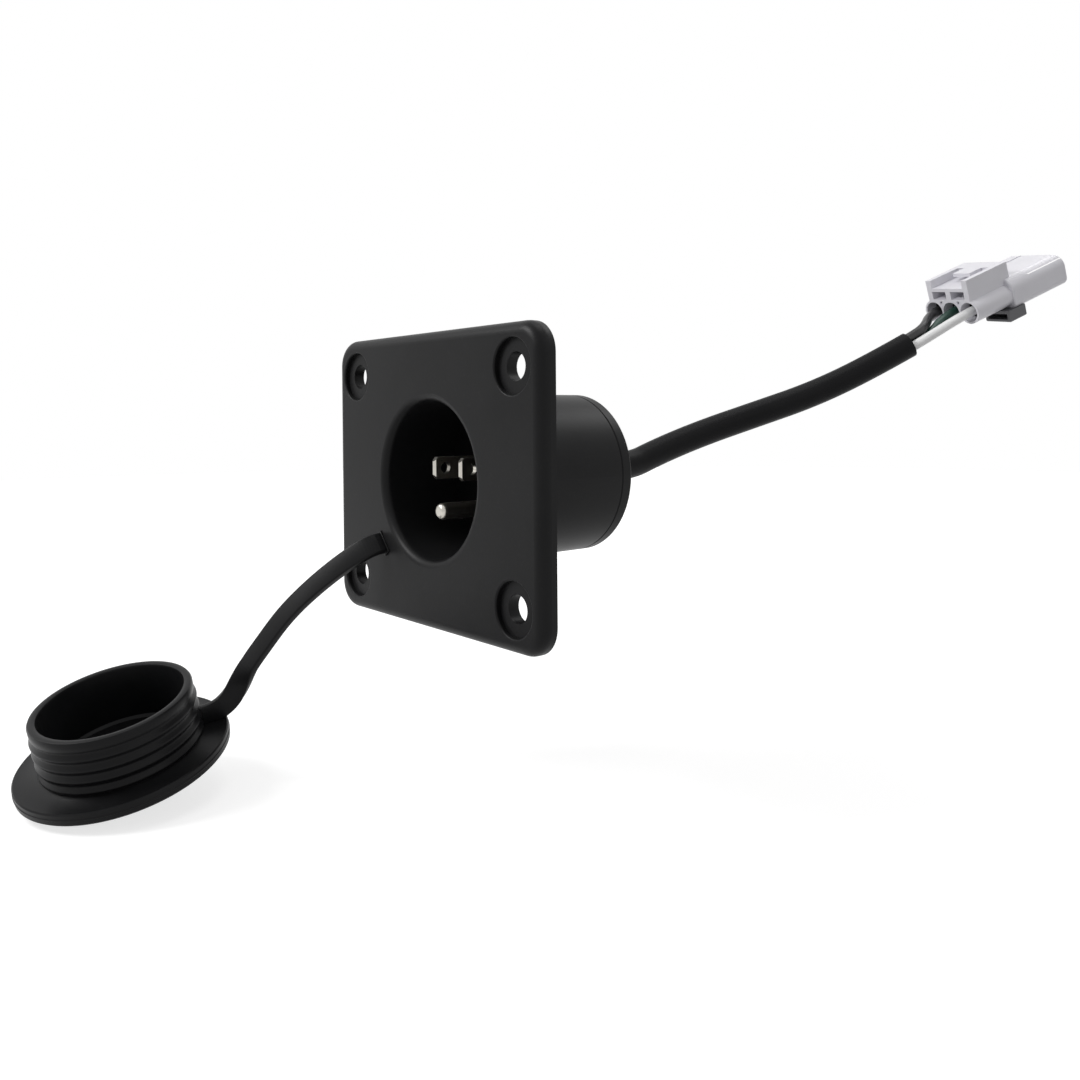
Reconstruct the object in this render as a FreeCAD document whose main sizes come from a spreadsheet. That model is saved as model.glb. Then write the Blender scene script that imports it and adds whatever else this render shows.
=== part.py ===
import FreeCAD, Part
import math
import os
import re
import Sketcher

# A charging inlet for an electric cart: a flanged housing with a sunk three-pin inlet, a tethered
# screw-in cap, a cord out of the back and a three-way wire connector on the cord's end.
# The origin is the centre of the four mounting holes on the flange's back face.
# +X is to the right seen from the front, +Y runs down the barrel, +Z is up.
# A connector size along "row" is across its three wires, "axis" runs from the wires to the mouth,
# and "height" stands square to both.

Vector = FreeCAD.Vector

doc = FreeCAD.newDocument("charger_receptacle")
sheet = doc.addObject("Spreadsheet::Sheet", "sheet")

driving_sizes = [
    # flange plate
    ("flange_width", 98.6),
    ("flange_height", 82.8),
    ("flange_thickness", 4.8),
    ("flange_corner", 8.0),
    ("flange_edge", 3.1),
    ("hole_pitch_wide", 76.2),
    ("hole_pitch_high", 60.3),
    ("hole_diameter", 7.4),
    ("counterbore_diameter", 14.3),
    ("counterbore_depth", 1.5),
    ("counterbore_edge", 0.5),
    # barrel behind the flange
    ("barrel_diameter", 48.4),
    ("barrel_length", 48.2),
    ("barrel_wall", 2.0),
    ("mouth_edge", 2.2),
    ("recess_depth", 25.0),
    ("seat_step", 0.7),
    ("post_diameter", 4.8),
    ("fit_gap", 0.1),
    # insulator that holds the contacts
    ("carrier_thickness", 6.0),
    ("shoulder_depth", 2.0),
    # contacts
    ("blade_spacing", 12.7),
    ("blade_width", 6.35),
    ("blade_thickness", 1.5),
    ("blade_tip_below_face", 6.7),
    ("blade_rise", 3.0),
    ("blade_bevel", 0.5),
    ("blade_corner", 1.2),
    ("blade_hole_diameter", 3.2),
    ("blade_hole_setback", 3.8),
    ("shoulder_width", 9.2),
    ("ground_drop", 11.9),
    ("pin_diameter", 4.75),
    ("pin_tip_below_face", 4.0),
    ("pin_tip_edge", 1.4),
    ("pin_shoulder_diameter", 7.4),
    ("tail_length", 8.4),
    # plate that keeps the contacts in the carrier
    ("keeper_clearance", 0.9),
    ("keeper_thickness", 1.8),
    # crimped sleeves on the tails, inside the barrel
    ("sleeve_wall", 0.7),
    ("sleeve_length", 6.4),
    ("sleeve_start_gap", 0.6),
    ("crimp_diameter", 3.8),
    ("crimp_length", 3.0),
    # rear cover
    ("cover_thickness", 3.9),
    ("cover_edge", 0.8),
    ("seam_edge", 0.3),
    ("spigot_length", 4.0),
    ("spigot_wall", 2.0),
    ("cover_hole_diameter", 14.0),
    # small screws
    ("screw_shank_diameter", 2.8),
    ("screw_head_diameter", 5.4),
    ("screw_head_height", 1.8),
    ("screw_bite", 6.0),
    ("screw_point", 1.0),
    ("keeper_screw_bite", 4.0),
    ("keeper_screw_offset", 7.4),
    ("keeper_screw_drop", 8.0),
    # bushing where the cord leaves the cover
    ("bushing_flange_diameter", 18.0),
    ("bushing_inner_flange", 1.5),
    ("bushing_outer_flange", 2.0),
    ("bushing_root_diameter", 14.4),
    ("bushing_tip_diameter", 11.0),
    ("bushing_reach", 14.6),
    # cord and wires
    ("jacket_diameter", 9.2),
    ("wire_diameter", 3.4),
    ("wire_ring_radius", 2.15),
    # tethered cap
    ("cap_disc_diameter", 57.9),
    ("cap_disc_thickness", 3.6),
    ("cap_disc_edge", 0.9),
    ("cap_plug_gap", 0.9),
    ("cap_plug_height", 16.0),
    ("cap_plug_wall", 2.0),
    ("cap_floor", 2.4),
    ("cap_rim_band", 2.8),
    ("cap_rim_edge", 0.7),
    ("rib_height", 0.85),
    ("rib_width", 2.1),
    ("rib_pitch", 3.25),
    ("rib_start", 1.3),
    ("rib_count", 4),
    ("cap_shift_right", -61.95),
    ("cap_shift_back", -67.3),
    ("cap_shift_up", -76.3),
    ("cap_lean_forward", 13.7),
    ("cap_lean_right", 6.8),
    # strap of the cap and its anchor in the flange
    ("strap_width", 6.6),
    ("strap_thickness", 2.1),
    ("strap_bearing", 30.1),
    ("strap_around", 220.5),
    ("strap_leaving_run", 4.1),
    ("strap_cap_bearing", 82.0),
    ("strap_landing_radius", 23.0),
    ("strap_landing_height", 1.9),
    ("strap_landing_run", 6.4),
    ("strap_sink", 2.2),
    ("anchor_head_width", 10.5),
    ("anchor_head_height", 5.0),
    ("anchor_head_depth", 1.6),
    ("anchor_collar_width", 7.4),
    ("anchor_collar_height", 2.8),
    ("anchor_collar_depth", 0.5),
    # three-way wire connector
    ("connector_shift_right", 55.4),
    ("connector_shift_back", 186.7),
    ("connector_shift_up", 54.3),
    ("connector_yaw", -20.4),
    ("connector_pitch", 22.6),
    ("connector_roll", 7.9),
    ("way_pitch", 7.8),
    ("way_bore_diameter", 7.2),
    ("way_tube_diameter", 8.6),
    ("way_depth", 17.0),
    ("block_width", 18.6),
    ("block_length", 20.0),
    ("block_roof", 8.85),
    ("rail_top", 11.85),
    ("rail_width", 2.3),
    ("bridge_start", 14.0),
    ("bridge_thickness", 1.3),
    ("tongue_width", 7.6),
    ("tongue_start", 8.0),
    ("window_width", 6.1),
    ("window_gap", 2.2),
    ("window_sill", 4.7),
    ("window_head", 7.65),
    ("hood_width", 25.6),
    ("hood_top", 6.2),
    ("hood_bottom", 5.0),
    ("hood_start", 17.0),
    ("hood_length", 27.0),
    ("hood_corner_top", 4.6),
    ("hood_corner_bottom", 2.4),
    ("hood_edge", 0.7),
    ("hood_wall", 1.2),
    ("mouth_depth", 17.5),
    ("key_offset", 4.6),
    ("key_width", 0.7),
    ("key_depth", 0.8),
    ("dimple_diameter", 1.1),
    ("dimple_depth", 3.0),
    ("dimple_height", 3.5),
    ("terminal_hole", 4.2),
    ("terminal_size", 3.6),
    ("terminal_start", 10.5),
    ("terminal_crimp_diameter", 4.4),
    ("terminal_tab_width", 2.8),
    ("terminal_tab_thickness", 0.8),
    ("terminal_tab_length", 11.0),
    ("seal_start", 4.5),
    ("seal_length", 4.6),
    ("seal_rib", 0.35),
    # retainer under the connector's hood
    ("retainer_lead", 3.9),
    ("retainer_left", 2.2),
    ("retainer_width", 10.6),
    ("retainer_length", 8.1),
    ("retainer_height", 3.7),
    ("retainer_wall", 1.1),
    ("retainer_seat", 0.6),
    ("retainer_edge", 0.6),
    ("retainer_floor", 1.5),
]

size = {}
for row, (alias, value) in enumerate(driving_sizes, start=1):
    sheet.set(f"A{row}", alias)
    sheet.set(f"B{row}", str(value))
    sheet.setAlias(f"B{row}", alias)
    size[alias] = value
doc.recompute()

word = re.compile(r"[a-z]+(?:_[a-z]+)*")


def of_sheet(text):
    """Turns the size names in an expression into references to the sheet."""
    return word.sub(lambda m: f"sheet.{m.group()}" if m.group() in size else m.group(), text)


def bind(item, prop, text):
    item.setExpression(prop, of_sheet(text))


# Places along the barrel, measured from the flange's back face
front = "-flange_thickness"
carrier_front = "recess_depth - flange_thickness"
carrier_back = f"{carrier_front} + carrier_thickness"
keeper_back = f"{carrier_back} + keeper_thickness"
shoulder_front = f"{carrier_back} - shoulder_depth"
post_top = "barrel_length - spigot_length"
cover_back = "barrel_length + cover_thickness"
tail_end = f"{carrier_back} + tail_length"
sleeve_start = f"{keeper_back} + sleeve_start_gap"
bushing_inner_face = "barrel_length - bushing_inner_flange"
bushing_tip = f"{cover_back} + bushing_reach"
bore = "(barrel_diameter - barrel_wall * 2)"
rear_bore = f"{bore} / 2 + seat_step"
post_offset = f"{rear_bore} - post_diameter / 2 - fit_gap * 2"


def new_body(name):
    body = doc.addObject("PartDesign::Body", name)
    body.Label = name
    return body


def new_sketch(body, name, role, lift="0", right="0", up="0", turn="0"):
    """A sketch on one of the body's own planes, lifted off it and shifted or turned in it."""
    planes = [item for item in body.Origin.OriginFeatures if item.Role == role]
    sketch = body.newObject("Sketcher::SketchObject", name)
    sketch.AttachmentSupport = [(planes[0], "")]
    sketch.MapMode = "FlatFace"
    bind(sketch, ".AttachmentOffset.Base.x", right)
    bind(sketch, ".AttachmentOffset.Base.y", up)
    bind(sketch, ".AttachmentOffset.Base.z", lift)
    bind(sketch, ".AttachmentOffset.Rotation.Angle", turn)
    return sketch


def add_outline(sketch, corners):
    """A closed outline of straight lines, each corner held by its two distances."""
    first = sketch.GeometryCount
    count = len(corners)
    for index in range(count):
        start = Vector(index, index * index, 0)
        following = (index + 1) % count
        end = Vector(following, following * following, 0)
        sketch.addGeometry(Part.LineSegment(start, end), False)
    for index in range(count):
        line, following = first + index, first + (index + 1) % count
        sketch.addConstraint(Sketcher.Constraint("Coincident", line, 2, following, 1))
    for index, (across, up) in enumerate(corners):
        for kind, text in (("DistanceX", across), ("DistanceY", up)):
            number = sketch.addConstraint(Sketcher.Constraint(kind, -1, 1, first + index, 1, 1.0))
            bind(sketch, f"Constraints[{number}]", text)


def add_rectangle(sketch, left, bottom, right, top):
    add_outline(sketch, [(left, bottom), (right, bottom), (right, top), (left, top)])


def add_circle(sketch, across, up, diameter):
    circle = sketch.addGeometry(Part.Circle(Vector(1, 1, 0), Vector(0, 0, 1), 1), False)
    for kind, text in (("DistanceX", across), ("DistanceY", up)):
        number = sketch.addConstraint(Sketcher.Constraint(kind, -1, 1, circle, 3, 1.0))
        bind(sketch, f"Constraints[{number}]", text)
    number = sketch.addConstraint(Sketcher.Constraint("Diameter", circle, 2.0))
    bind(sketch, f"Constraints[{number}]", diameter)


def extrude(body, kind, name, sketch, length, along_normal=False):
    """A pad or a pocket of a sketch. Against the normal of an XZ sketch is towards the cord."""
    feature = body.newObject(f"PartDesign::{kind}", name)
    feature.Profile = sketch
    feature.Reversed = (kind == "Pocket") == along_normal
    bind(feature, "Length", length)
    return feature


def turn_profile(body, kind, name, sketch, axis):
    feature = body.newObject(f"PartDesign::{kind}", name)
    feature.Profile = sketch
    feature.ReferenceAxis = (sketch, [axis])
    feature.Angle = 360
    return feature


def dress(body, kind, name, edge_test, width):
    """Rounds or bevels the edges of the body's last feature that pass the test."""
    doc.recompute()
    base = body.Tip
    picked = [f"Edge{number}" for number, edge in enumerate(base.Shape.Edges, start=1) if edge_test(edge)]
    if not picked:
        raise ValueError(f"{name} finds no edges on {body.Label}")
    feature = body.newObject(f"PartDesign::{kind}", name)
    feature.Base = (base, picked)
    bind(feature, "Radius" if kind == "Fillet" else "Size", width)
    doc.recompute()
    return feature


near_enough = 1e-4


def lies_at(edge, axis, place):
    box = edge.BoundBox
    low, high = getattr(box, f"{axis}Min"), getattr(box, f"{axis}Max")
    return abs(low - place) < near_enough and abs(high - place) < near_enough


def runs_along(edge, axis):
    box = edge.BoundBox
    lengths = {"X": box.XLength, "Y": box.YLength, "Z": box.ZLength}
    along = lengths.pop(axis)
    return along > near_enough and max(lengths.values()) < near_enough


def is_ring(edge, diameter):
    curve = edge.Curve
    return isinstance(curve, Part.Circle) and abs(curve.Radius * 2 - diameter) < near_enough


# Flange plate with the barrel, moulded in one

housing = new_body("flange_housing")
plate_sketch = new_sketch(housing, "plate_outline", "XZ_Plane")
add_rectangle(plate_sketch, "-flange_width / 2", "-flange_height / 2", "flange_width / 2", "flange_height / 2")
extrude(housing, "Pad", "plate", plate_sketch, "flange_thickness", along_normal=True)
dress(housing, "Fillet", "plate_corners", lambda edge: runs_along(edge, "Y"), "flange_corner")
dress(housing, "Fillet", "plate_front_edge",
      lambda edge: lies_at(edge, "Y", -size["flange_thickness"]), "flange_edge")
barrel_sketch = new_sketch(housing, "barrel_outline", "XZ_Plane")
add_circle(barrel_sketch, "0", "0", "barrel_diameter")
extrude(housing, "Pad", "barrel", barrel_sketch, "barrel_length")

hollow_sketch = new_sketch(housing, "hollow_profile", "YZ_Plane")
add_outline(hollow_sketch, [
    (front, "0"),
    (front, f"{bore} / 2"),
    (carrier_front, f"{bore} / 2"),
    (carrier_front, rear_bore),
    ("barrel_length", rear_bore),
    ("barrel_length", "0"),
])
turn_profile(housing, "Groove", "hollow", hollow_sketch, "H_Axis")
dress(housing, "Fillet", "mouth_rounding",
      lambda edge: is_ring(edge, size["barrel_diameter"] - size["barrel_wall"] * 2)
      and lies_at(edge, "Y", -size["flange_thickness"]), "mouth_edge")
dress(housing, "Chamfer", "barrel_seam",
      lambda edge: is_ring(edge, size["barrel_diameter"]) and lies_at(edge, "Y", size["barrel_length"]), "seam_edge")

hole_sketch = new_sketch(housing, "panel_holes", "XZ_Plane", lift="flange_thickness")
counterbore_sketch = new_sketch(housing, "panel_counterbores", "XZ_Plane", lift="flange_thickness")
for side in ("-", ""):
    for level in ("-", ""):
        place = (f"{side}hole_pitch_wide / 2", f"{level}hole_pitch_high / 2")
        add_circle(hole_sketch, *place, "hole_diameter")
        add_circle(counterbore_sketch, *place, "counterbore_diameter")
extrude(housing, "Pocket", "mounting_holes", hole_sketch, "flange_thickness")
extrude(housing, "Pocket", "counterbores", counterbore_sketch, "counterbore_depth")
dress(housing, "Fillet", "counterbore_edges",
      lambda edge: is_ring(edge, size["counterbore_diameter"]) and lies_at(edge, "Y", -size["flange_thickness"]),
      "counterbore_edge")

# The strap's slot lies square to the radius on which it sits, with a pocket behind for the strap's head
strap_right = "strap_bearing * cos(strap_around)"
strap_up = "strap_bearing * sin(strap_around)"
strap_turn = "strap_around - 90"
slot_sketch = new_sketch(housing, "strap_slot_outline", "XZ_Plane", "flange_thickness",
                         strap_right, strap_up, strap_turn)
add_rectangle(slot_sketch, "-strap_width / 2 - fit_gap", "-strap_thickness / 2 - fit_gap",
              "strap_width / 2 + fit_gap", "strap_thickness / 2 + fit_gap")
extrude(housing, "Pocket", "strap_slot", slot_sketch, "flange_thickness")
head_sketch = new_sketch(housing, "strap_head_outline", "XZ_Plane", "0", strap_right, strap_up, strap_turn)
add_rectangle(head_sketch, "-anchor_head_width / 2 - fit_gap", "-anchor_head_height / 2 - fit_gap",
              "anchor_head_width / 2 + fit_gap", "anchor_head_height / 2 + fit_gap")
extrude(housing, "Pocket", "strap_head_pocket", head_sketch, "anchor_head_depth + fit_gap", along_normal=True)

# Insulator at the bottom of the recess: it goes in from behind against the step in the bore,
# and two posts on it meet the cover's

carrier = new_body("contact_carrier")
carrier_sketch = new_sketch(carrier, "disc_outline", "XZ_Plane", lift=f"-({carrier_front})")
add_circle(carrier_sketch, "0", "0", f"({rear_bore} - fit_gap) * 2")
extrude(carrier, "Pad", "disc", carrier_sketch, "carrier_thickness")
carrier_post_sketch = new_sketch(carrier, "post_outline", "XZ_Plane", lift=f"-({carrier_back})")
pilot_sketch = new_sketch(carrier, "post_pilot_outline", "XZ_Plane", lift=f"-({post_top})")
for side in ("-", ""):
    add_circle(carrier_post_sketch, f"{side}({post_offset})", "0", "post_diameter")
    add_circle(pilot_sketch, f"{side}({post_offset})", "0", "screw_shank_diameter + fit_gap")
extrude(carrier, "Pad", "posts", carrier_post_sketch, f"{post_top} - ({carrier_back})")
extrude(carrier, "Pocket", "post_pilots", pilot_sketch, "screw_bite + fit_gap", along_normal=True)
passage_sketch = new_sketch(carrier, "contact_passages", "XZ_Plane", lift=f"-({carrier_front})")
shoulder_sketch = new_sketch(carrier, "shoulder_seats", "XZ_Plane", lift=f"-({carrier_back})")
for side in ("-", ""):
    left = f"{side}blade_spacing / 2 - blade_thickness / 2 - fit_gap / 2"
    right = f"{side}blade_spacing / 2 + blade_thickness / 2 + fit_gap / 2"
    add_rectangle(passage_sketch, left, "blade_rise - blade_width / 2 - fit_gap / 2",
                  right, "blade_rise + blade_width / 2 + fit_gap / 2")
    add_rectangle(shoulder_sketch, left, "blade_rise - shoulder_width / 2 - fit_gap / 2",
                  right, "blade_rise + shoulder_width / 2 + fit_gap / 2")
add_circle(passage_sketch, "0", "blade_rise - ground_drop", "pin_diameter + fit_gap")
add_circle(shoulder_sketch, "0", "blade_rise - ground_drop", "pin_shoulder_diameter + fit_gap")
extrude(carrier, "Pocket", "passages", passage_sketch, "carrier_thickness")
extrude(carrier, "Pocket", "seats", shoulder_sketch, "shoulder_depth", along_normal=True)
keeper_pilot_sketch = new_sketch(carrier, "keeper_pilot_outline", "XZ_Plane", lift=f"-({carrier_back})")
for side in ("-", ""):
    add_circle(keeper_pilot_sketch, f"{side}keeper_screw_offset", "-keeper_screw_drop", "screw_shank_diameter + fit_gap")
extrude(carrier, "Pocket", "keeper_pilots", keeper_pilot_sketch, "keeper_screw_bite + fit_gap", along_normal=True)

# Plate screwed behind the carrier, which keeps the contacts' shoulders in their seats

keeper = new_body("contact_keeper")
keeper_sketch = new_sketch(keeper, "keeper_outline", "XZ_Plane", lift=f"-({carrier_back})")
add_circle(keeper_sketch, "0", "0", f"({post_offset} - post_diameter / 2 - keeper_clearance) * 2")
half_thick = "blade_thickness / 2 + fit_gap / 2"
half_wide = "blade_width / 2 + fit_gap / 2"
for across in ("-blade_spacing / 2", "blade_spacing / 2"):
    add_rectangle(keeper_sketch, f"{across} - ({half_thick})", f"blade_rise - ({half_wide})",
                  f"{across} + {half_thick}", f"blade_rise + {half_wide}")
add_rectangle(keeper_sketch, f"-({half_thick})", f"blade_rise - ground_drop - ({half_wide})",
              half_thick, f"blade_rise - ground_drop + {half_wide}")
for side in ("-", ""):
    add_circle(keeper_sketch, f"{side}keeper_screw_offset", "-keeper_screw_drop", "screw_shank_diameter + fit_gap * 2")
extrude(keeper, "Pad", "keeper_plate", keeper_sketch, "keeper_thickness")


def make_blade(name, side):
    """A flat contact with a shoulder that seats in the carrier and a tail behind it."""
    body = new_body(name)
    outline = new_sketch(body, f"{name}_outline", "YZ_Plane", lift=f"{side}blade_spacing / 2 - blade_thickness / 2",
                         up="blade_rise")
    tip = "blade_tip_below_face - flange_thickness"
    top_half = [
        (tip, "blade_width / 2 - blade_corner"),
        (f"{tip} + blade_corner", "blade_width / 2"),
        (shoulder_front, "blade_width / 2"),
        (shoulder_front, "shoulder_width / 2"),
        (carrier_back, "shoulder_width / 2"),
        (carrier_back, "blade_width / 2"),
        (tail_end, "blade_width / 2"),
    ]
    bottom_half = [(along, f"-({up})") for along, up in reversed(top_half)]
    add_outline(outline, top_half + bottom_half)
    add_circle(outline, f"{tip} + blade_hole_setback", "0", "blade_hole_diameter")
    extrude(body, "Pad", f"{name}_strip", outline, "blade_thickness", along_normal=True)
    tip_place = size["blade_tip_below_face"] - size["flange_thickness"]
    dress(body, "Chamfer", f"{name}_tip",
          lambda edge: lies_at(edge, "Y", tip_place) and runs_along(edge, "Z"), "blade_bevel")


make_blade("line_blade", "-")
make_blade("neutral_blade", "")

pin = new_body("ground_pin")
bind(pin, ".Placement.Base.z", "blade_rise - ground_drop")
pin_sketch = new_sketch(pin, "pin_profile", "YZ_Plane")
pin_tip = "pin_tip_below_face - flange_thickness"
add_outline(pin_sketch, [
    (pin_tip, "0"),
    (pin_tip, "pin_diameter / 2"),
    (shoulder_front, "pin_diameter / 2"),
    (shoulder_front, "pin_shoulder_diameter / 2"),
    (carrier_back, "pin_shoulder_diameter / 2"),
    (carrier_back, "0"),
])
turn_profile(pin, "Revolution", "pin_shank", pin_sketch, "H_Axis")
dress(pin, "Fillet", "pin_tip",
      lambda edge: lies_at(edge, "Y", size["pin_tip_below_face"] - size["flange_thickness"]), "pin_tip_edge")
pin_tail_sketch = new_sketch(pin, "pin_tail_outline", "XZ_Plane", lift=f"-({carrier_back})")
add_rectangle(pin_tail_sketch, "-blade_thickness / 2", "-blade_width / 2", "blade_thickness / 2", "blade_width / 2")
extrude(pin, "Pad", "pin_tail", pin_tail_sketch, "tail_length")

# A sleeve crimped on each wire is pushed over each contact's tail

contact_places = {
    "line": ("-blade_spacing / 2", "blade_rise"),
    "neutral": ("blade_spacing / 2", "blade_rise"),
    "ground": ("0", "blade_rise - ground_drop"),
}


def make_sleeve(contact):
    name = f"{contact}_sleeve"
    right, up = contact_places[contact]
    body = new_body(name)
    bind(body, ".Placement.Base.x", right)
    bind(body, ".Placement.Base.z", up)
    outline = new_sketch(body, f"{name}_outline", "XZ_Plane", lift=f"-({sleeve_start})")
    half_across = "blade_thickness / 2 + fit_gap / 2"
    half_high = "blade_width / 2 + fit_gap / 2"
    add_rectangle(outline, f"-({half_across} + sleeve_wall)", f"-({half_high} + sleeve_wall)",
                  f"{half_across} + sleeve_wall", f"{half_high} + sleeve_wall")
    extrude(body, "Pad", f"{name}_box", outline, "sleeve_length")
    slot = new_sketch(body, f"{name}_slot_outline", "XZ_Plane", lift=f"-({sleeve_start})")
    add_rectangle(slot, f"-({half_across})", f"-({half_high})", half_across, half_high)
    extrude(body, "Pocket", f"{name}_slot", slot, f"{tail_end} - ({sleeve_start}) + fit_gap")
    barrel = new_sketch(body, f"{name}_crimp_outline", "XZ_Plane", lift=f"-({sleeve_start} + sleeve_length)")
    add_circle(barrel, "0", "0", "crimp_diameter")
    extrude(body, "Pad", f"{name}_crimp", barrel, "crimp_length")


for contact in contact_places:
    make_sleeve(contact)

# Rear cover, its spigot inside the barrel and its two posts on the carrier's

cover = new_body("rear_cover")
cover_sketch = new_sketch(cover, "cover_profile", "YZ_Plane")
spigot_outside = f"{rear_bore} - fit_gap"
spigot_inside = f"{spigot_outside} - spigot_wall"
add_outline(cover_sketch, [
    (post_top, spigot_inside),
    (post_top, spigot_outside),
    ("barrel_length", spigot_outside),
    ("barrel_length", "barrel_diameter / 2"),
    (cover_back, "barrel_diameter / 2"),
    (cover_back, "cover_hole_diameter / 2"),
    ("barrel_length", "cover_hole_diameter / 2"),
    ("barrel_length", spigot_inside),
])
turn_profile(cover, "Revolution", "cover_disc", cover_sketch, "H_Axis")
dress(cover, "Chamfer", "cover_seam",
      lambda edge: is_ring(edge, size["barrel_diameter"]) and lies_at(edge, "Y", size["barrel_length"]), "seam_edge")
dress(cover, "Fillet", "cover_rounding",
      lambda edge: is_ring(edge, size["barrel_diameter"])
      and lies_at(edge, "Y", size["barrel_length"] + size["cover_thickness"]), "cover_edge")
post_sketch = new_sketch(cover, "cover_post_outline", "XZ_Plane", lift=f"-({post_top})")
cover_hole_sketch = new_sketch(cover, "screw_hole_outline", "XZ_Plane", lift=f"-({cover_back})")
cover_head_sketch = new_sketch(cover, "screw_head_outline", "XZ_Plane", lift=f"-({cover_back})")
for side in ("-", ""):
    add_circle(post_sketch, f"{side}({post_offset})", "0", "post_diameter")
    add_circle(cover_hole_sketch, f"{side}({post_offset})", "0", "screw_shank_diameter + fit_gap * 2")
    add_circle(cover_head_sketch, f"{side}({post_offset})", "0", "screw_head_diameter + fit_gap * 2")
extrude(cover, "Pad", "cover_posts", post_sketch, "spigot_length")
extrude(cover, "Pocket", "screw_holes", cover_hole_sketch, "cover_thickness + spigot_length", along_normal=True)
extrude(cover, "Pocket", "screw_head_seats", cover_head_sketch, "screw_head_height", along_normal=True)


def make_screw_pair(name, head_face, bite, right, up, points_forward):
    """Two screws, each turned about its own axis, one on each side at the same height."""
    screws = []
    for number, side in enumerate(("-", ""), start=1):
        body = new_body(f"{name}_{number}")
        bind(body, ".Placement.Base.x", f"{side}({right})")
        bind(body, ".Placement.Base.y", head_face)
        bind(body, ".Placement.Base.z", up)
        profile = new_sketch(body, f"{name}_{number}_profile", "YZ_Plane")
        along = "-" if points_forward else ""
        add_outline(profile, [
            (f"{along}(-screw_head_height)", "0"),
            (f"{along}(-screw_head_height)", "screw_head_diameter / 2"),
            ("0", "screw_head_diameter / 2"),
            ("0", "screw_shank_diameter / 2"),
            (f"{along}({bite} - screw_point)", "screw_shank_diameter / 2"),
            (f"{along}({bite})", "screw_shank_diameter / 4"),
            (f"{along}({bite})", "0"),
        ])
        turn_profile(body, "Revolution", f"{name}_{number}_screw", profile, "H_Axis")
        screws.append(body)
    pair = doc.addObject("Part::Compound", name)
    pair.Label = name
    pair.Links = screws
    return pair


cover_screw_reach = "cover_thickness - screw_head_height + spigot_length + screw_bite"
make_screw_pair("cover_screws", f"{cover_back} - screw_head_height", cover_screw_reach, post_offset, "0", True)
make_screw_pair("keeper_screws", keeper_back, "keeper_thickness + keeper_screw_bite",
                "keeper_screw_offset", "-keeper_screw_drop", True)

# Rubber bushing moulded round the cord and clamped in the cover

bushing = new_body("cord_bushing")
bushing_sketch = new_sketch(bushing, "bushing_profile", "YZ_Plane")
cord_hole = "jacket_diameter / 2 + fit_gap / 2"
add_outline(bushing_sketch, [
    (bushing_inner_face, cord_hole),
    (bushing_inner_face, "bushing_flange_diameter / 2"),
    ("barrel_length", "bushing_flange_diameter / 2"),
    ("barrel_length", "cover_hole_diameter / 2 - fit_gap / 2"),
    (cover_back, "cover_hole_diameter / 2 - fit_gap / 2"),
    (cover_back, "bushing_flange_diameter / 2"),
    (f"{cover_back} + bushing_outer_flange", "bushing_flange_diameter / 2"),
    (f"{cover_back} + bushing_outer_flange", "bushing_root_diameter / 2"),
    (bushing_tip, "bushing_tip_diameter / 2"),
    (bushing_tip, cord_hole),
])
turn_profile(bushing, "Revolution", "bushing_body", bushing_sketch, "H_Axis")

# Three-way connector, modelled square in its own frame and then laid on the cord's end

connector_frame = FreeCAD.Placement(
    Vector(size["connector_shift_right"], size["connector_shift_back"], size["connector_shift_up"]),
    FreeCAD.Rotation(Vector(0, 0, 1), size["connector_yaw"])
    * FreeCAD.Rotation(Vector(1, 0, 0), size["connector_pitch"])
    * FreeCAD.Rotation(Vector(0, 1, 0), size["connector_roll"]),
)
ways = {"black": "-way_pitch", "green": "0", "white": "way_pitch"}


def connector_body(name):
    body = new_body(name)
    body.Placement = connector_frame
    return body


def profile_at(body, name, along):
    """A sketch across the connector, at a distance along its axis."""
    return new_sketch(body, name, "XZ_Plane", lift=f"-({along})")


shell = connector_body("connector_housing")
hood_sketch = profile_at(shell, "hood_outline", "hood_start")
add_rectangle(hood_sketch, "-hood_width / 2", "-hood_bottom", "hood_width / 2", "hood_top")
extrude(shell, "Pad", "hood", hood_sketch, "hood_length")


def hood_corner(edge, upper):
    return runs_along(edge, "Y") and (edge.BoundBox.Center.z > 0) == upper


dress(shell, "Fillet", "hood_top_corners", lambda edge: hood_corner(edge, True), "hood_corner_top")
dress(shell, "Fillet", "hood_bottom_corners",
      lambda edge: hood_corner(edge, False) and lies_at(edge, "Z", -size["hood_bottom"]), "hood_corner_bottom")
dress(shell, "Fillet", "hood_end_edges",
      lambda edge: lies_at(edge, "Y", size["hood_start"] + size["hood_length"])
      or lies_at(edge, "Y", size["hood_start"]), "hood_edge")

mouth_sketch = profile_at(shell, "mouth_outline", "hood_start + hood_length")
add_rectangle(mouth_sketch, "-(hood_width / 2 - hood_wall)", "-(hood_bottom - hood_wall)",
              "hood_width / 2 - hood_wall", "hood_top - hood_wall")
extrude(shell, "Pocket", "mouth", mouth_sketch, "mouth_depth", along_normal=True)

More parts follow.
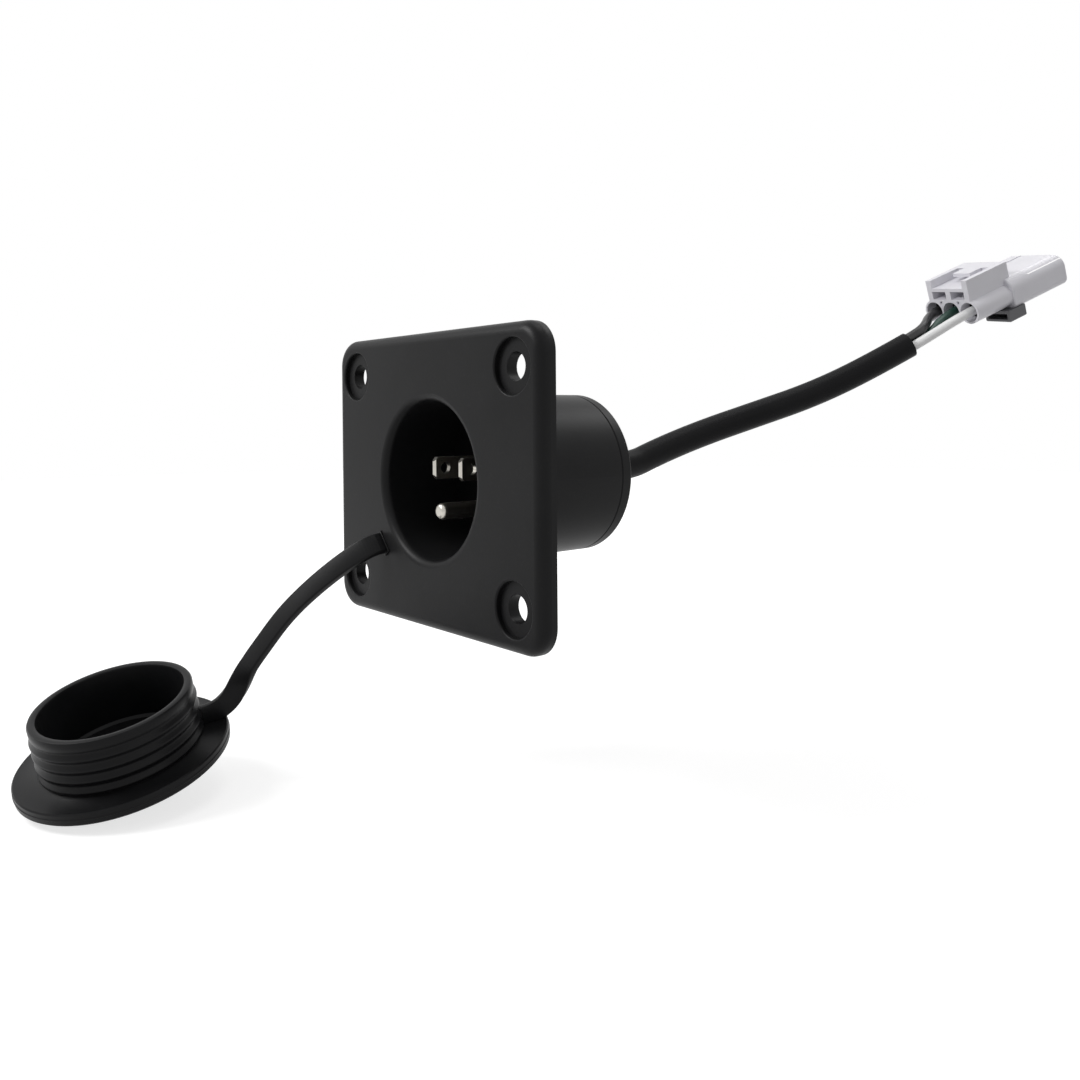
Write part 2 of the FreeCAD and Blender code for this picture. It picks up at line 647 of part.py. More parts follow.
block_sketch = profile_at(shell, "block_outline", "0")
inner_rail = "block_width / 2 - rail_width"
add_outline(block_sketch, [
    ("-block_width / 2", "0"),
    ("block_width / 2", "0"),
    ("block_width / 2", "rail_top"),
    (inner_rail, "rail_top"),
    (inner_rail, "block_roof"),
    (f"-({inner_rail})", "block_roof"),
    (f"-({inner_rail})", "rail_top"),
    ("-block_width / 2", "rail_top"),
])
extrude(shell, "Pad", "block", block_sketch, "block_length")
bridge_sketch = profile_at(shell, "bridge_outline", "bridge_start")
add_rectangle(bridge_sketch, f"-({inner_rail})", "rail_top - bridge_thickness", inner_rail, "rail_top")
extrude(shell, "Pad", "bridge", bridge_sketch, "block_length - bridge_start")
tongue_sketch = profile_at(shell, "tongue_outline", "tongue_start")
add_rectangle(tongue_sketch, "-tongue_width / 2", "rail_top - bridge_thickness", "tongue_width / 2", "rail_top")
extrude(shell, "Pad", "tongue", tongue_sketch, "bridge_start - tongue_start")

for wire, across in ways.items():
    tube_sketch = profile_at(shell, f"{wire}_tube_outline", "0")
    add_circle(tube_sketch, across, "0", "way_tube_diameter")
    extrude(shell, "Pad", f"{wire}_tube", tube_sketch, "hood_start")
bore_sketch = profile_at(shell, "way_bores", "0")
terminal_hole_sketch = profile_at(shell, "terminal_holes", "way_depth")
for across in ways.values():
    add_circle(bore_sketch, across, "0", "way_bore_diameter")
    add_rectangle(terminal_hole_sketch, f"{across} - terminal_hole / 2", "-terminal_hole / 2",
                  f"{across} + terminal_hole / 2", "terminal_hole / 2")
extrude(shell, "Pocket", "wire_ways", bore_sketch, "way_depth")
partition = "hood_start + hood_length - mouth_depth - way_depth"
extrude(shell, "Pocket", "terminal_ways", terminal_hole_sketch, partition)

window_sketch = profile_at(shell, "window_outline", "0")
dimple_sketch = profile_at(shell, "dimple_outline", "0")
for side in (-1, 1):
    near = "window_gap / 2"
    far = "window_gap / 2 + window_width"
    left, right = (f"-({far})", f"-({near})") if side < 0 else (near, far)
    add_rectangle(window_sketch, left, "window_sill", right, "window_head")
    for level in ("", "-"):
        add_circle(dimple_sketch, f"{side} * way_pitch / 2", f"{level}dimple_height", "dimple_diameter")
extrude(shell, "Pocket", "windows", window_sketch, "block_length")
extrude(shell, "Pocket", "dimples", dimple_sketch, "dimple_depth")
key_sketch = profile_at(shell, "key_outline", "hood_start + hood_length")
add_rectangle(key_sketch, "-(key_offset + key_width)", "hood_top - key_depth", "-key_offset", "rail_top")
extrude(shell, "Pocket", "key_groove", key_sketch, "hood_start + hood_length - block_length", along_normal=True)
seat_sketch = profile_at(shell, "retainer_seat_outline", "hood_start")
add_rectangle(seat_sketch, "retainer_left - fit_gap", "-hood_bottom * 2",
              "retainer_left + retainer_width + fit_gap", "-hood_bottom + retainer_seat")
extrude(shell, "Pocket", "retainer_seat", seat_sketch, "retainer_length - retainer_lead + fit_gap")

# Dark retainer in a seat under the hood, a sleeve open towards the wires

retainer = connector_body("connector_retainer")
retainer_sketch = profile_at(retainer, "retainer_outline", "hood_start - retainer_lead")
retainer_right = "retainer_left + retainer_width"
retainer_base = "-(hood_bottom + retainer_height)"
add_rectangle(retainer_sketch, "retainer_left", retainer_base, retainer_right, "-hood_bottom + retainer_seat")
extrude(retainer, "Pad", "retainer_block", retainer_sketch, "retainer_length")
dress(retainer, "Fillet", "retainer_edges",
      lambda edge: lies_at(edge, "Z", -(size["hood_bottom"] + size["retainer_height"])), "retainer_edge")
channel_sketch = profile_at(retainer, "channel_outline", "hood_start - retainer_lead")
add_rectangle(channel_sketch, "retainer_left + retainer_wall", f"{retainer_base} + retainer_wall",
              f"{retainer_right} - retainer_wall", "-hood_bottom - retainer_wall / 2")
extrude(retainer, "Pocket", "channel", channel_sketch, "retainer_length - retainer_floor")


def make_seal(wire):
    """A ring between the wire and its way, with two lips on the outside."""
    name = f"{wire}_wire_seal"
    body = connector_body(name)
    profile = new_sketch(body, f"{name}_profile", "XY_Plane")
    outside = "way_bore_diameter / 2 - fit_gap / 2"
    waist = f"{outside} - seal_rib"
    wire_hole = "wire_diameter / 2 + fit_gap / 2"
    step = "seal_length / 5"
    radii = (outside, waist, outside, waist, outside)
    corners = [(wire_hole, "seal_start")]
    for index, radius in enumerate(radii):
        corners.append((radius, f"seal_start + {index} * {step}"))
        corners.append((radius, f"seal_start + {index + 1} * {step}"))
    corners.append((wire_hole, "seal_start + seal_length"))
    add_outline(profile, corners)
    turn_profile(body, "Revolution", f"{name}_ring", profile, "V_Axis")
    shift_along_row(body, wire)


def shift_along_row(body, wire):
    across = {"black": -size["way_pitch"], "green": 0.0, "white": size["way_pitch"]}[wire]
    body.Placement = connector_frame * FreeCAD.Placement(Vector(across, 0, 0), FreeCAD.Rotation())


def make_terminal(wire):
    """A crimp, a square body and a flat tab that stands in the connector's mouth."""
    name = f"{wire}_terminal"
    body = connector_body(name)
    crimp_sketch = profile_at(body, f"{name}_crimp_outline", "terminal_start")
    add_circle(crimp_sketch, "0", "0", "terminal_crimp_diameter")
    extrude(body, "Pad", f"{name}_crimp", crimp_sketch, "way_depth - terminal_start")
    box_sketch = profile_at(body, f"{name}_box_outline", "way_depth")
    add_rectangle(box_sketch, "-terminal_size / 2", "-terminal_size / 2", "terminal_size / 2", "terminal_size / 2")
    extrude(body, "Pad", f"{name}_box", box_sketch, partition)
    tab_sketch = profile_at(body, f"{name}_tab_outline", f"way_depth + {partition}")
    add_rectangle(tab_sketch, "-terminal_tab_width / 2", "-terminal_tab_thickness / 2",
                  "terminal_tab_width / 2", "terminal_tab_thickness / 2")
    extrude(body, "Pad", f"{name}_tab", tab_sketch, "terminal_tab_length")
    shift_along_row(body, wire)


for wire in ways:
    make_seal(wire)
    make_terminal(wire)

# Cap: a disc with a ribbed cup, open side up

cap = new_body("cap_cup")
cap_frame = FreeCAD.Placement(
    Vector(size["cap_shift_right"], size["cap_shift_back"], size["cap_shift_up"]),
    FreeCAD.Rotation(Vector(1, 0, 0), size["cap_lean_forward"])
    * FreeCAD.Rotation(Vector(0, 1, 0), size["cap_lean_right"]),
)
cap.Placement = cap_frame
cup_sketch = new_sketch(cap, "cup_profile", "XZ_Plane")
plug_radius = f"({bore} / 2 - cap_plug_gap)"
add_outline(cup_sketch, [
    ("0", "-cap_disc_thickness"),
    ("cap_disc_diameter / 2", "-cap_disc_thickness"),
    ("cap_disc_diameter / 2", "0"),
    (plug_radius, "0"),
    (plug_radius, "cap_plug_height - cap_rim_band"),
    (f"{plug_radius} + rib_height / 2", "cap_plug_height - cap_rim_band + rib_height"),
    (f"{plug_radius} + rib_height / 2", "cap_plug_height"),
    (f"{plug_radius} - cap_plug_wall", "cap_plug_height"),
    (f"{plug_radius} - cap_plug_wall", "cap_floor - cap_disc_thickness"),
    ("0", "cap_floor - cap_disc_thickness"),
])
turn_profile(cap, "Revolution", "cup", cup_sketch, "V_Axis")
dress(cap, "Fillet", "disc_edges",
      lambda edge: is_ring(edge, size["cap_disc_diameter"]), "cap_disc_edge")
dress(cap, "Fillet", "rim_edges",
      lambda edge: lies_at(edge, "Z", size["cap_plug_height"]), "cap_rim_edge")
rib_sketch = new_sketch(cap, "rib_profile", "XZ_Plane")
add_outline(rib_sketch, [
    (f"{plug_radius} - rib_height", "rib_start - rib_width / 2"),
    (plug_radius, "rib_start - rib_width / 2"),
    (f"{plug_radius} + rib_height", "rib_start - rib_width / 8"),
    (f"{plug_radius} + rib_height", "rib_start + rib_width / 8"),
    (plug_radius, "rib_start + rib_width / 2"),
    (f"{plug_radius} - rib_height", "rib_start + rib_width / 2"),
])
rib = turn_profile(cap, "Revolution", "rib", rib_sketch, "V_Axis")
ribs = cap.newObject("PartDesign::LinearPattern", "ribs")
ribs.Originals = [rib]
ribs.Direction = (rib_sketch, ["V_Axis"])
bind(ribs, "Length", "rib_pitch * (rib_count - 1)")
bind(ribs, "Occurrences", "rib_count")
cap.Tip = ribs
doc.recompute()

# Strap: a flat band on one smooth curve from the flange to the cap's edge, turning as it goes

strap_angle = math.radians(size["strap_around"])
strap_side = Vector(math.sin(strap_angle), 0, -math.cos(strap_angle))
strap_face = Vector(-math.cos(strap_angle), 0, -math.sin(strap_angle))
strap_centre = Vector(size["strap_bearing"] * math.cos(strap_angle), 0, size["strap_bearing"] * math.sin(strap_angle))
face_level = -size["flange_thickness"]

landing_angle = math.radians(size["strap_cap_bearing"])
landing_way = cap_frame.Rotation.multVec(Vector(math.cos(landing_angle), math.sin(landing_angle), 0))
cap_up = cap_frame.Rotation.multVec(Vector(0, 0, 1))
landing = (cap_frame.Base + landing_way * size["strap_landing_radius"] + cap_up * size["strap_landing_height"])
landing_face = landing_way.cross(cap_up)


def flat_section(place, side, face):
    """The strap's rectangular section, its width along side and its thickness along face."""
    across = side * (size["strap_width"] / 2)
    through = face * (size["strap_thickness"] / 2)
    corners = [place + across + through, place - across + through,
               place - across - through, place + across - through]
    return Part.makePolygon(corners + corners[:1])


def strap_sections():
    """Sections along the strap's curve, from the flange's front face into the wall of the cap's cup."""
    guide = [
        strap_centre + Vector(0, face_level, 0),
        strap_centre + Vector(0, face_level - size["strap_leaving_run"], 0),
        Vector(-28.5, -18.5, -25.9),
        Vector(-36.9, -29.2, -38.6),
        Vector(-45.4, -37.1, -54.3),
        Vector(-52.1, -39.2, -65.2),
        landing + landing_way * size["strap_landing_run"],
        landing,
    ]
    curve = Part.BSplineCurve()
    curve.buildFromPolesMultsKnots(guide, [4, 1, 1, 1, 1, 4], [0, 0.2, 0.4, 0.6, 0.8, 1], False, 3)
    print("strap length", round(curve.length(), 1))
    steps = 16
    sections = []
    for step in range(steps + 1):
        share = step / steps
        along = curve.tangent(share)[0]
        face = strap_face * (1 - share) + landing_face * share
        face = (face - along * face.dot(along)).normalize()
        sections.append(flat_section(curve.value(share), along.cross(face).normalize(), face))
    inside_wall = landing - landing_way * size["strap_sink"]
    sections.append(flat_section(inside_wall, (-landing_way).cross(landing_face), landing_face))
    return sections


def block_on_strap(width, height, start, end):
    """A square-cornered piece of the anchor, from one depth to another along the slot."""
    side = strap_side * (width / 2)
    through = strap_face * (height / 2)
    middle = strap_centre + Vector(0, start, 0)
    corners = [middle + side + through, middle - side + through,
               middle - side - through, middle + side - through]
    face = Part.Face(Part.makePolygon(corners + corners[:1]))
    return face.extrude(Vector(0, end - start, 0))


strap = doc.addObject("Part::Feature", "strap_band")
band = Part.makeLoft(strap_sections(), True, False)
neck = block_on_strap(size["strap_width"], size["strap_thickness"], face_level, 0)
collar = block_on_strap(size["anchor_collar_width"], size["anchor_collar_height"],
                        face_level - size["anchor_collar_depth"], face_level)
head = block_on_strap(size["anchor_head_width"], size["anchor_head_height"], -size["anchor_head_depth"], 0)
strap.Shape = band.multiFuse([neck, collar, head])

sealing_cap = doc.addObject("Part::MultiFuse", "sealing_cap")
sealing_cap.Label = "sealing_cap"
sealing_cap.Shapes = [cap, strap]

# Cord and wires: straight runs joined by tangent arcs

arc_share = 0.45


def route_wire(points, name):
    """The path through hand-picked points, each corner rounded as far as its two runs allow."""
    edges = []
    last = points[0]
    radii = []
    for before, corner, after in zip(points, points[1:], points[2:]):
        inward_run, outward_run = corner - before, after - corner
        turn = inward_run.getAngle(outward_run)
        cut = arc_share * min(inward_run.Length, outward_run.Length)
        radius = cut / math.tan(turn / 2)
        radii.append(round(radius, 1))
        to_start = Vector(inward_run).normalize()
        to_end = Vector(outward_run).normalize()
        arc_start = corner - to_start * cut
        arc_end = corner + to_end * cut
        toward_centre = (to_end - to_start).normalize()
        centre = corner + toward_centre * (radius / math.cos(turn / 2))
        arc_middle = centre - toward_centre * radius
        edges.append(Part.LineSegment(last, arc_start).toShape())
        edges.append(Part.Arc(arc_start, arc_middle, arc_end).toShape())
        last = arc_end
    edges.append(Part.LineSegment(last, points[-1]).toShape())
    print(name, "bend radii", radii)
    return Part.Wire(edges)


def make_tube(name, points, diameter):
    path = route_wire(points, name)
    along = points[1] - points[0]
    ring = Part.Wire([Part.makeCircle(diameter / 2, points[0], along)])
    tube = path.makePipeShell([ring], True, False)
    expected = math.pi * (diameter / 2) ** 2 * path.Length
    if abs(tube.Volume - expected) > expected * 0.01:
        raise ValueError(f"{name} has a volume of {tube.Volume:.1f} and should have {expected:.1f}")
    print(name, "length", round(path.Length, 1))
    item = doc.addObject("Part::Feature", name)
    item.Label = name
    item.Shape = tube
    return item


def on_axis(place):
    return Vector(0, place, 0)


inner_face_place = size["barrel_length"] - size["bushing_inner_flange"]
cord_route = [
    on_axis(inner_face_place),
    on_axis(73.6),
    Vector(1.5, 88.0, 5.2),
    Vector(7.2, 104.4, 11.3),
    Vector(15.6, 123.4, 17.6),
    Vector(26.2, 141.4, 24.3),
    Vector(38.0, 157.5, 33.3),
    Vector(48.3, 169.3, 42.1),
]
make_tube("cord_jacket", cord_route, size["jacket_diameter"])

cord_end = cord_route[-1]
end_way = (cord_end - cord_route[-2]).normalize()
row_way = connector_frame.Rotation.multVec(Vector(1, 0, 0))
end_side = (row_way - end_way * row_way.dot(end_way)).normalize()
end_up = end_side.cross(end_way)
wire_angles = {"black": 110, "green": 230, "white": 350}
wire_bows = {"black": 0.4, "green": -0.1, "white": 0.2}
wire_rows = {"black": -1, "green": 0, "white": 1}
straight_run = 1.6
bow_run = 7.8
entry_run = 2.4


def connector_point(across, along):
    return connector_frame.multVec(Vector(across, along, 0))


for wire, angle in wire_angles.items():
    lean = math.radians(angle)
    start = cord_end + (end_side * math.cos(lean) + end_up * math.sin(lean)) * size["wire_ring_radius"]
    across = wire_rows[wire] * size["way_pitch"]
    wire_route = [
        start,
        start + end_way * straight_run,
        start + end_way * bow_run + end_up * wire_bows[wire],
        connector_point(across, -entry_run),
        connector_point(across, size["terminal_start"]),
    ]
    make_tube(f"{wire}_wire", wire_route, size["wire_diameter"])

# Leads inside the barrel, from the cord's inner end to the sleeves

lead_angles = {"line": 150, "neutral": 30, "ground": 270}
crimp_face = (size["recess_depth"] - size["flange_thickness"] + size["carrier_thickness"] + size["keeper_thickness"]
              + size["sleeve_start_gap"] + size["sleeve_length"] + size["crimp_length"])
lead_places = {
    "line": Vector(-size["blade_spacing"] / 2, 0, size["blade_rise"]),
    "neutral": Vector(size["blade_spacing"] / 2, 0, size["blade_rise"]),
    "ground": Vector(0, 0, size["blade_rise"] - size["ground_drop"]),
}
lead_run = 2.6
for contact, angle in lead_angles.items():
    lean = math.radians(angle)
    start = Vector(size["wire_ring_radius"] * math.cos(lean), inner_face_place,
                   size["wire_ring_radius"] * math.sin(lean))
    end = lead_places[contact] + on_axis(crimp_face)
    lead_route = [start, start - on_axis(lead_run), end + on_axis(lead_run), end]
    make_tube(f"{contact}_lead", lead_route, size["wire_diameter"])

doc.recompute()

node_names = [
    "flange_housing", "contact_carrier", "contact_keeper", "line_blade", "neutral_blade", "ground_pin",
    "line_sleeve", "neutral_sleeve", "ground_sleeve", "line_lead", "neutral_lead", "ground_lead",
    "keeper_screws", "rear_cover", "cover_screws", "cord_bushing", "sealing_cap", "cord_jacket",
    "black_wire", "green_wire", "white_wire", "connector_housing", "connector_retainer",
    "black_wire_seal", "green_wire_seal", "white_wire_seal",
    "black_terminal", "green_terminal", "white_terminal",
]

for item in doc.Objects:
    if "Invalid" in item.State or "Error" in item.State:
        raise ValueError(f"{item.Label} did not build: {item.State}")
nodes = {name: doc.getObjectsByLabel(name)[0] for name in node_names}
for name, item in nodes.items():
    if item.Shape.isNull() or not item.Shape.isValid():
        raise ValueError(f"{name} has no sound shape")

os.makedirs("parts", exist_ok=True)
for name, item in nodes.items():
    item.Shape.exportStep(f"parts/{name}.step")
    print(name, "solids", len(item.Shape.Solids), "volume", round(item.Shape.Volume, 1))
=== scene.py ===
import math
import bmesh
import bpy
from mathutils import Matrix, Vector


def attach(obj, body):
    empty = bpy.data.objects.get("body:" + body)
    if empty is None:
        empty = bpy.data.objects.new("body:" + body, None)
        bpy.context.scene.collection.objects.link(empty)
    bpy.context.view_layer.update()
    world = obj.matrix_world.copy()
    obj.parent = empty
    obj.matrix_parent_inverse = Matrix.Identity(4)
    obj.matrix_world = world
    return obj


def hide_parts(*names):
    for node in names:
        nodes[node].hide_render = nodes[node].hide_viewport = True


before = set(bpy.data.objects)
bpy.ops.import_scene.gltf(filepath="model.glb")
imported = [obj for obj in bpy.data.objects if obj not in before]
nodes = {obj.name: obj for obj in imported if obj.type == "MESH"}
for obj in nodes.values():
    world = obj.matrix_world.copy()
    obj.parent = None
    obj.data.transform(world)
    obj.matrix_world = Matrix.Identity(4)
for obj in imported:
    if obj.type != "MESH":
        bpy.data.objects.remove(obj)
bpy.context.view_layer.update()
print("packed frame loaded,", len(nodes), "nodes")

# Camera where the photograph was taken; drop shifts its frame down
view = {
    "place": (0.21952, -0.15036, 0.01825),
    "right": (0.648959, 0.760787, -0.007407),
    "up": (-0.003905, 0.013066, 0.999907),
    "back": (0.760813, -0.64887, 0.01145),
    "lensPerWidth": 0.87363,
    "sensorWidth": 36,
    "drop": -0.1065,
    "nearest": 0.01,
}


def makeCamera():
    data = bpy.data.cameras.new("camera")
    data.sensor_width = view["sensorWidth"]
    data.lens = view["lensPerWidth"] * view["sensorWidth"]
    data.shift_y = view["drop"]
    data.clip_start = view["nearest"]
    camera = bpy.data.objects.new("camera", data)
    turn = Matrix((view["right"], view["up"], view["back"])).transposed()
    camera.matrix_world = Matrix.Translation(view["place"]) @ turn.to_4x4()
    bpy.context.scene.collection.objects.link(camera)
    bpy.context.scene.camera = camera


makeCamera()
print("camera placed")

# Cord and wires on the same points as the part's own routes; the sizes are diameters
cordSizes = {"jacket": 0.0092, "wire": 0.0034}
cordCurve = {"order": 3, "stepsPerPoint": 16, "roundness": 7}
cordPoints = [
    (0, 0.0467, 0), (0, 0.0736, 0), (0.0015, 0.088, 0.0052), (0.0072, 0.1044, 0.0113),
    (0.0156, 0.1234, 0.0176), (0.0262, 0.1414, 0.0243), (0.038, 0.1575, 0.0333),
    (0.0483, 0.1693, 0.0421),
]
wirePoints = {
    "black": [(0.04757, 0.16854, 0.04397), (0.04849, 0.16959, 0.04476), (0.05202, 0.17344, 0.04812),
              (0.04724, 0.18693, 0.05437), (0.05139, 0.19809, 0.05932)],
    "green": [(0.04728, 0.17092, 0.04112), (0.04819, 0.17197, 0.04191), (0.05176, 0.1761, 0.04486),
              (0.05463, 0.18462, 0.05338), (0.05878, 0.19579, 0.05834)],
    "white": [(0.05005, 0.16844, 0.0412), (0.05097, 0.16949, 0.04198), (0.05451, 0.17345, 0.04519),
              (0.06201, 0.18232, 0.05239), (0.06616, 0.19348, 0.05735)],
}


def makeCord(name, points, diameter):
    curve = bpy.data.curves.new(name, "CURVE")
    curve.dimensions = "3D"
    line = curve.splines.new("NURBS")
    line.points.add(len(points) - 1)
    for point, place in zip(line.points, points):
        point.co = (*place, 1)
        point.radius = diameter / 2
    line.order_u = cordCurve["order"]
    line.use_endpoint_u = True
    line.resolution_u = cordCurve["stepsPerPoint"]
    curve.bevel_depth = 1  # the points' own radius gives the thickness
    curve.bevel_resolution = cordCurve["roundness"]
    curve.use_fill_caps = True
    cord = bpy.data.objects.new(name, curve)
    bpy.context.scene.collection.objects.link(cord)
    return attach(cord, "root")


jacket = makeCord("cordJacket", cordPoints, cordSizes["jacket"])
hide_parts("cord_jacket")
plugNodes = ["connector_housing", "connector_retainer"]
plugNodes += [f"{wire}_{piece}" for wire in wirePoints for piece in ("wire_seal", "terminal")]
wires = {}
for wire, points in wirePoints.items():
    wires[wire] = makeCord(f"{wire}Wire", points, cordSizes["wire"])
    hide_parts(f"{wire}_wire")
print("cord and wires laid")

# Cap and its strap, one flexible moulding; the profile is radius and height in millimetres
cap = {
    "place": (-0.06195, -0.0673, -0.0763),
    "leanForward": 13.7,
    "leanRight": 6.8,
    "profile": [
        (0, -3.6), (28.35, -3.6), (28.8, -3.15), (28.8, -2.0), (28.95, -1.85), (28.95, -1.6),
        (28.8, -1.45), (28.8, -0.35), (28.45, 0), (22.1, 0), (21.55, 0.35),
        (22.05, 0.95), (22.1, 1.3), (22.0, 1.7), (21.35, 2.5), (21.3, 2.9), (21.35, 3.3),
        (22.05, 4.15), (22.1, 4.5), (22.0, 4.9), (21.35, 5.75), (21.3, 6.15), (21.35, 6.55),
        (22.05, 7.4), (22.1, 7.75), (22.0, 8.15), (21.35, 9.0), (21.3, 9.4), (21.35, 9.8),
        (22.05, 10.65), (22.1, 11.0), (22.0, 11.4), (21.35, 12.2), (21.3, 12.6), (21.4, 12.95),
        (21.68, 13.35), (21.7, 15.35), (21.4, 15.85), (20.9, 16), (20.0, 16), (19.5, 15.8),
        (19.3, 15.3), (19.3, -0.4), (18.6, -1.2), (0, -1.2),
    ],
    "sides": 144,
    "mergeReach": 0.000004,
    "creaseAngle": 38,
}
strap = {
    "points": [
        (-0.0229, -0.0048, -0.01955), (-0.0229, -0.0084, -0.01955), (-0.0265, -0.01267, -0.02279),
        (-0.03233, -0.01799, -0.0285), (-0.03783, -0.02288, -0.03467), (-0.04291, -0.02768, -0.04158),
        (-0.04716, -0.03156, -0.04953), (-0.05097, -0.03598, -0.05713), (-0.05298, -0.03914, -0.06683),
        (-0.0553, -0.04493, -0.06988), (-0.05605, -0.04822, -0.07002),
    ],
    "order": 4,
    "stepsPerPoint": 8,
    # which way its broad side looks, at shares of its length
    "faces": [
        (0, (0.76, 0, 0.649)), (0.12, (0.76, 0, 0.649)), (0.4, (0.31, -0.87, 0.39)),
        (0.72, (0.31, -0.87, 0.39)), (0.9, (0.955, -0.238, -0.175)), (1, (0.955, -0.238, -0.175)),
    ],
    "width": 0.0062,
    "thickness": 0.0024,
    "flare": 0.0006,
    "flareFrom": 0.9,
    "edge": 0.0005,
    "edgeSteps": 4,
    "anchorEdge": 0.0003,
    "anchorEdgeSteps": 3,
    "sharpFrom": 1.0,
    # blocks of the anchor in the flange's slot: width, height, start and end
    "anchor": [(0.0074, 0.0028, -0.0053, -0.0048), (0.0066, 0.0021, -0.0048, 0), (0.0105, 0.005, -0.0016, 0)],
}


def makeCup(shape):
    ring = [shape.verts.new((radius / 1000, 0, height / 1000)) for radius, height in cap["profile"]]
    rim = [shape.edges.new(pair) for pair in zip(ring, ring[1:])]
    bmesh.ops.spin(shape, geom=ring + rim, cent=(0, 0, 0), axis=(0, 0, 1), angle=math.tau,
                   steps=cap["sides"], use_merge=True)
    bmesh.ops.remove_doubles(shape, verts=shape.verts, dist=cap["mergeReach"])
    lean = Matrix.Rotation(math.radians(cap["leanForward"]), 4, "X")
    lean = lean @ Matrix.Rotation(math.radians(cap["leanRight"]), 4, "Y")
    bmesh.ops.transform(shape, matrix=Matrix.Translation(cap["place"]) @ lean, verts=shape.verts)


# Places along the smooth line that has these control points
def readRoute(points, order, resolution):
    curve = bpy.data.curves.new("route", "CURVE")
    curve.dimensions = "3D"
    line = curve.splines.new("NURBS")
    line.points.add(len(points) - 1)
    for point, place in zip(line.points, points):
        point.co = (*place, 1)
    line.order_u = order
    line.use_endpoint_u = True
    line.resolution_u = resolution
    guide = bpy.data.objects.new("route", curve)
    mesh = bpy.data.meshes.new_from_object(guide)
    places = [vertex.co.copy() for vertex in mesh.vertices]
    bpy.data.meshes.remove(mesh)
    bpy.data.objects.remove(guide)
    bpy.data.curves.remove(curve)
    return places


# Turns a unit square into the strap's section at a place on its route
def sectionAt(place, along, face, width, thickness):
    along = along.normalized()
    face = (face - along * face.dot(along)).normalized()
    side = along.cross(face)
    turn = Matrix((side, face, along)).transposed().to_4x4()
    return Matrix.Translation(place) @ turn @ Matrix.Diagonal((width, thickness, 1, 1))


def faceAt(share):
    for (start, first), (end, second) in zip(strap["faces"], strap["faces"][1:]):
        if share <= end:
            return Vector(first).lerp(Vector(second), (share - start) / (end - start))


def makeBand(shape):
    places = readRoute(strap["points"], strap["order"], strap["stepsPerPoint"])
    flareFrom = strap["flareFrom"]
    sections = []
    for number, place in enumerate(places):
        share = number / (len(places) - 1)
        before, after = places[max(number - 1, 0)], places[min(number + 1, len(places) - 1)]
        spread = strap["flare"] * max(0, (share - flareFrom) / (1 - flareFrom)) ** 2
        sections.append(sectionAt(place, after - before, faceAt(share),
                                  strap["width"] + spread, strap["thickness"]))
    corners = bmesh.ops.create_grid(shape, x_segments=1, y_segments=1, size=0.5)["verts"]
    bmesh.ops.transform(shape, matrix=sections[0], verts=corners)
    bmesh.ops.bevel(shape, geom=shape.verts[:] + shape.edges[:], offset=strap["edge"],
                    segments=strap["edgeSteps"], profile=0.5, material=-1, affect="VERTICES")
    end = shape.faces[:][0]
    for previous, section in zip(sections, sections[1:]):
        grown = bmesh.ops.extrude_face_region(shape, geom=[end])["geom"]
        end = [item for item in grown if isinstance(item, bmesh.types.BMFace)][0]
        bmesh.ops.transform(shape, matrix=section @ previous.inverted(), verts=end.verts)


def roundAnchorEdges(shape):
    bmesh.ops.recalc_face_normals(shape, faces=shape.faces)
    sharp = [edge for edge in shape.edges if edge.calc_face_angle() > strap["sharpFrom"]]
    bmesh.ops.bevel(shape, geom=sharp, offset=strap["anchorEdge"], segments=strap["anchorEdgeSteps"],
                    profile=0.5, material=-1, affect="EDGES", clamp_overlap=True)


def makeAnchorBlock(shape, width, height, start, end):
    made = bmesh.ops.create_cube(shape, size=1)["verts"]
    middle = Vector((strap["points"][0][0], (start + end) / 2, strap["points"][0][2]))
    place = sectionAt(middle, Vector((0, 1, 0)), faceAt(0), width, height)
    bmesh.ops.transform(shape, matrix=place @ Matrix.Diagonal((1, 1, end - start, 1)), verts=made)
    roundAnchorEdges(shape)


# One object from several closed shapes that belong to one moulding
def makePiece(name, makers):
    whole = bmesh.new()
    for maker, values in makers:
        shape = bmesh.new()
        maker(shape, *values)
        bmesh.ops.recalc_face_normals(shape, faces=shape.faces)
        part = bpy.data.meshes.new(name)
        shape.to_mesh(part)
        shape.free()
        whole.from_mesh(part)
        bpy.data.meshes.remove(part)
    mesh = bpy.data.meshes.new(name)
    whole.to_mesh(mesh)
    whole.free()
    for face in mesh.polygons:
        face.use_smooth = True
    mesh.set_sharp_from_angle(angle=math.radians(cap["creaseAngle"]))
    piece = bpy.data.objects.new(name, mesh)
    bpy.context.scene.collection.objects.link(piece)
    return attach(piece, "root")


tetheredCap = makePiece("tetheredCap", [(makeCup, ()), (makeBand, ())]
                        + [(makeAnchorBlock, block) for block in strap["anchor"]])
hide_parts("sealing_cap")
print("cap and strap made")


# Shader value that adds its own Math nodes when it meets an operator
class Socket:
    def __init__(self, maker, output):
        self.maker = maker
        self.output = output

    def join(self, operation, other, swapped=False):
        pair = (other, self) if swapped else (self, other)
        return self.maker.node("ShaderNodeMath", {"operation": operation}, {0: pair[0], 1: pair[1]})

    def __add__(self, other):
        return self.join("ADD", other)

    def __radd__(self, other):
        return self.join("ADD", other, True)

    def __sub__(self, other):
        return self.join("SUBTRACT", other)

    def __rsub__(self, other):
        return self.join("SUBTRACT", other, True)

    def __mul__(self, other):
        return self.join("MULTIPLY", other)

    def __rmul__(self, other):
        return self.join("MULTIPLY", other, True)


